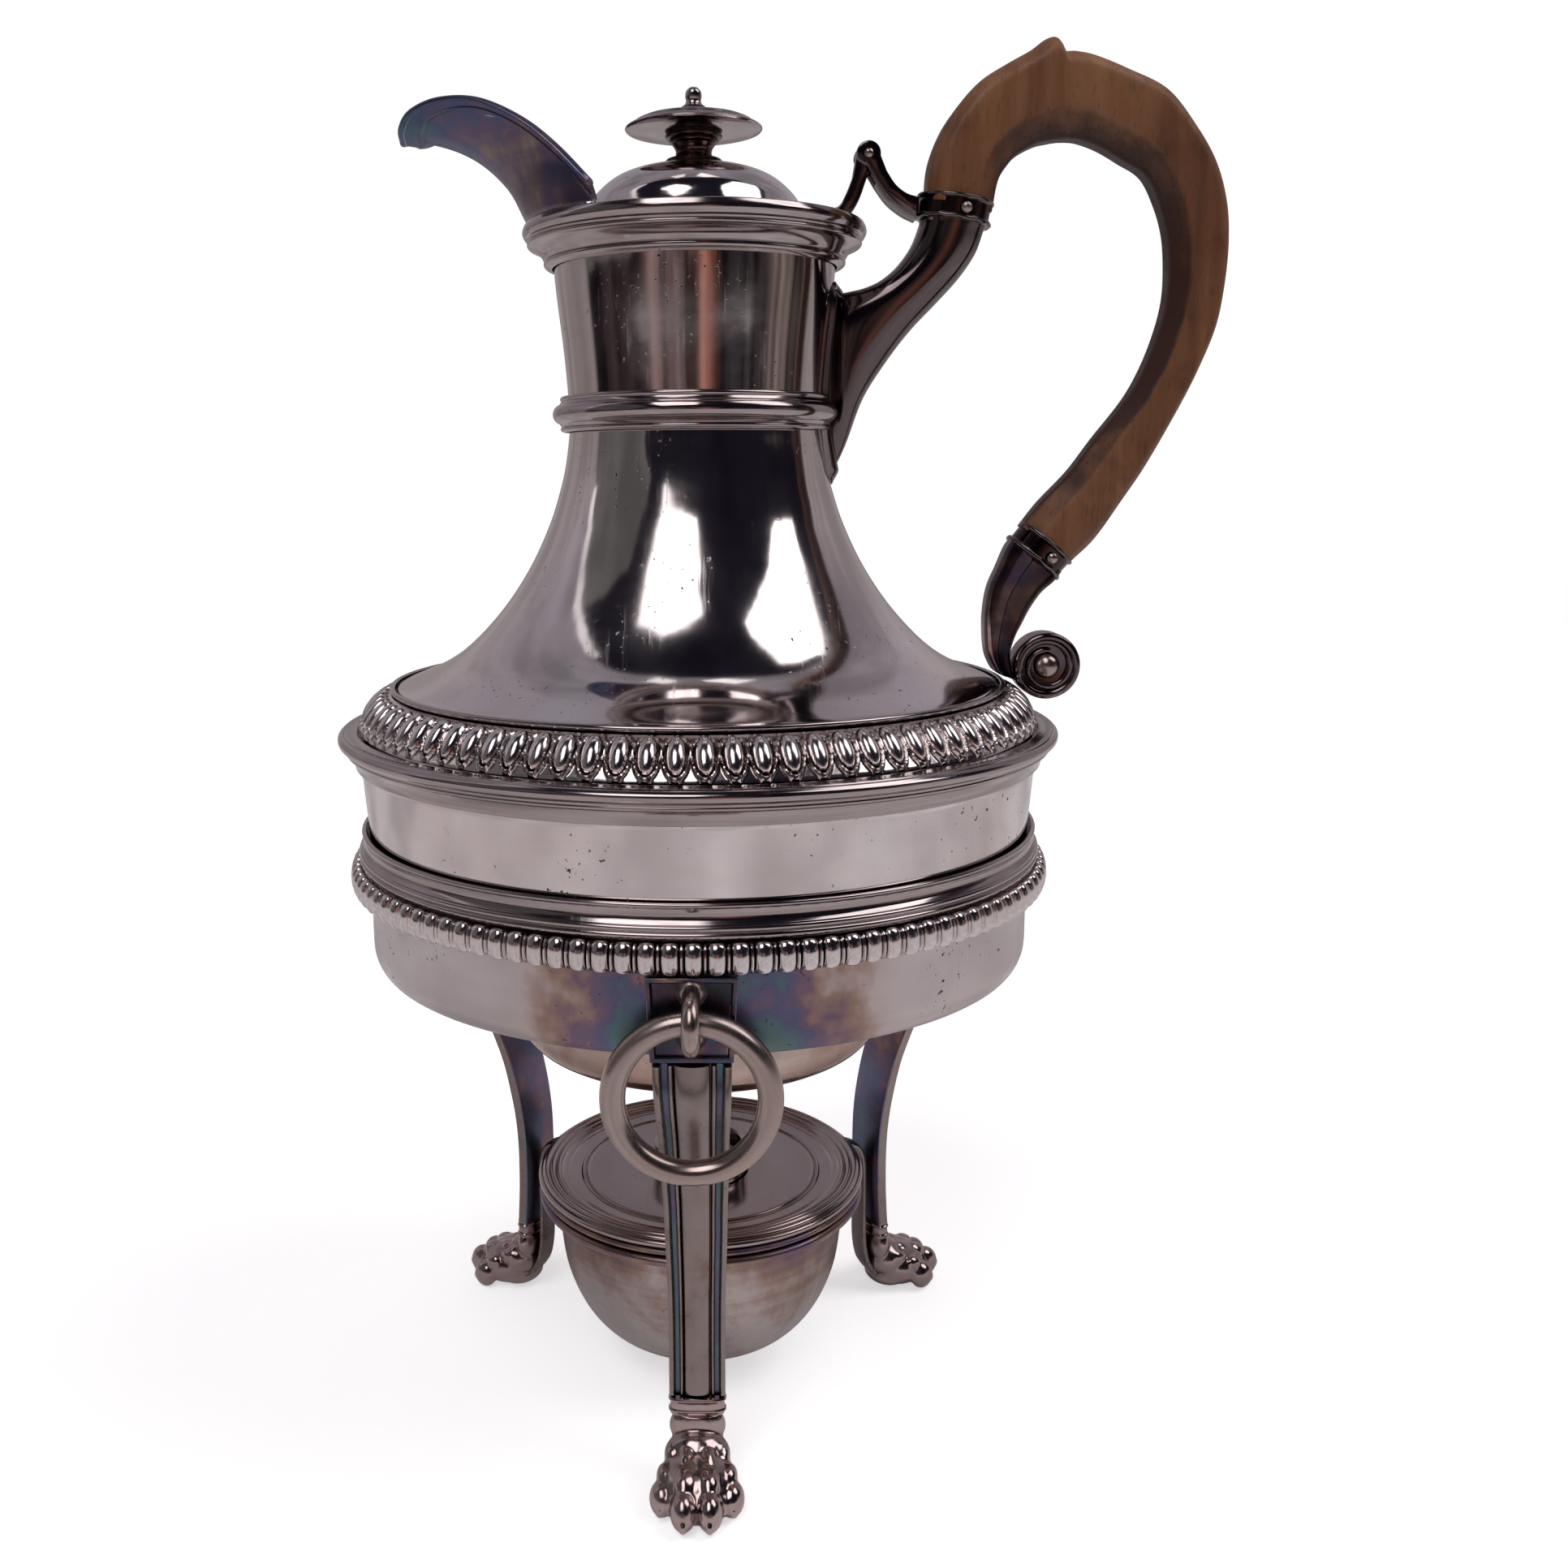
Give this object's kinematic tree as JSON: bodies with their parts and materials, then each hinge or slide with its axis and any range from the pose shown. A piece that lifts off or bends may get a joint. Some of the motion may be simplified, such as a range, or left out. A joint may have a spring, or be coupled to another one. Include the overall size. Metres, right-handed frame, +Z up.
{
  "type": "coffee pot on stand",
  "caption": "Round silver coffee pot with an open beak, hinged domed lid and wooden C-shaped grip, on a three-legged ring stand with paw feet, drop rings and a covered spirit burner.",
  "frame": {"origin": "on the table under the middle of the bounding box", "axes": "+Z up, -X towards the spout, +X towards the wooden grip, -Y towards the front leg"},
  "size_m": [0.1944, 0.167, 0.3],
  "materials": {
    "silver": "polished, fine scratches",
    "silver_raised": "polished, lilac haze and swirl scratches",
    "stand_silver": "polished, brown tarnish low down",
    "silver_tarnished": "worn, blue-green and brown tarnish",
    "silver_worn": "worn, satin",
    "burner_silver": "satin, heat haze",
    "fruitwood": "worn varnish",
    "cotton": "matt"
  },
  "bodies": {
    "stand": {"stand_moulding": "stand_silver", "gadroon_band": "stand_silver", "apron": "stand_silver", "pot_rest": "stand_silver", "lamp_ring": "burner_silver", "head_plate_front": "silver_tarnished", "leg_front": "silver_tarnished", "paw_front": "silver_tarnished", "strap_front": "silver_tarnished", "ring_eye_front": "silver_worn", "head_plate_left": "silver_tarnished", "leg_left": "silver_tarnished", "paw_left": "silver_tarnished", "strap_left": "silver_tarnished", "ring_eye_left": "silver_worn", "head_plate_right": "silver_tarnished", "leg_right": "silver_tarnished", "paw_right": "silver_tarnished", "strap_right": "silver_tarnished", "ring_eye_right": "silver_worn"},
    "pot": {"pot_neck": "silver_raised", "pot_bell": "silver_raised", "pot_drum": "silver_raised", "pot_base": "silver_raised", "pot_well": "silver_raised", "rim_moulding": "silver_raised", "spout": "silver", "spout_lip": "silver", "neck_ring": "silver_raised", "egg_band": "silver", "shoulder_flange": "silver_raised", "upper_socket": "silver", "upper_ferrule": "silver", "upper_pin": "silver", "hinge_bracket": "silver", "hinge_pin": "silver", "wood_handle": "fruitwood", "lower_ferrule": "silver", "lower_pin": "silver", "lower_arm": "silver", "scroll_volute": "silver"},
    "lid": {"lid": "silver_raised", "lid_leaf": "silver", "finial_stem": "silver", "finial_disc": "silver", "finial_tip": "silver"},
    "burner": {"burner_bowl": "burner_silver"},
    "burner_cover": {"burner_lid": "burner_silver", "wick_tube": "burner_silver", "wick": "cotton"},
    "ring_front": {"drop_ring_front": "silver_worn"},
    "ring_left": {"drop_ring_left": "silver_worn"},
    "ring_right": {"drop_ring_right": "silver_worn"}
  },
  "joints": [
    {"name": "pot_lift", "type": "slide", "parent": "stand", "child": "pot", "axis": [0, 0, 1], "range_m": [0, 0.09]},
    {"name": "lid_hinge", "type": "hinge", "parent": "pot", "child": "lid", "pos_m": [0.0198, 0.00353, 0.277], "axis": [0, 1, 0], "range_deg": [0, 95]},
    {"name": "burner_lift", "type": "slide", "parent": "stand", "child": "burner", "axis": [0, 0, 1], "range_m": [0, 0.012]},
    {"name": "burner_cover_lift", "type": "slide", "parent": "burner", "child": "burner_cover", "axis": [0, 0, 1], "range_m": [0, 0.012]},
    {"name": "ring_front_swing", "type": "hinge", "parent": "stand", "child": "ring_front", "pos_m": [-0.01889, -0.07695, 0.11335], "axis": [-0.9998, 0.0209, 0], "range_deg": [0, 75]},
    {"name": "ring_left_swing", "type": "hinge", "parent": "stand", "child": "ring_left", "pos_m": [-0.08606, 0.04524, 0.11335], "axis": [0.518, 0.8554, 0], "range_deg": [0, 75]},
    {"name": "ring_right_swing", "type": "hinge", "parent": "stand", "child": "ring_right", "pos_m": [0.05334, 0.04232, 0.11335], "axis": [0.4818, -0.8763, 0], "range_deg": [0, 75]}
  ]
}
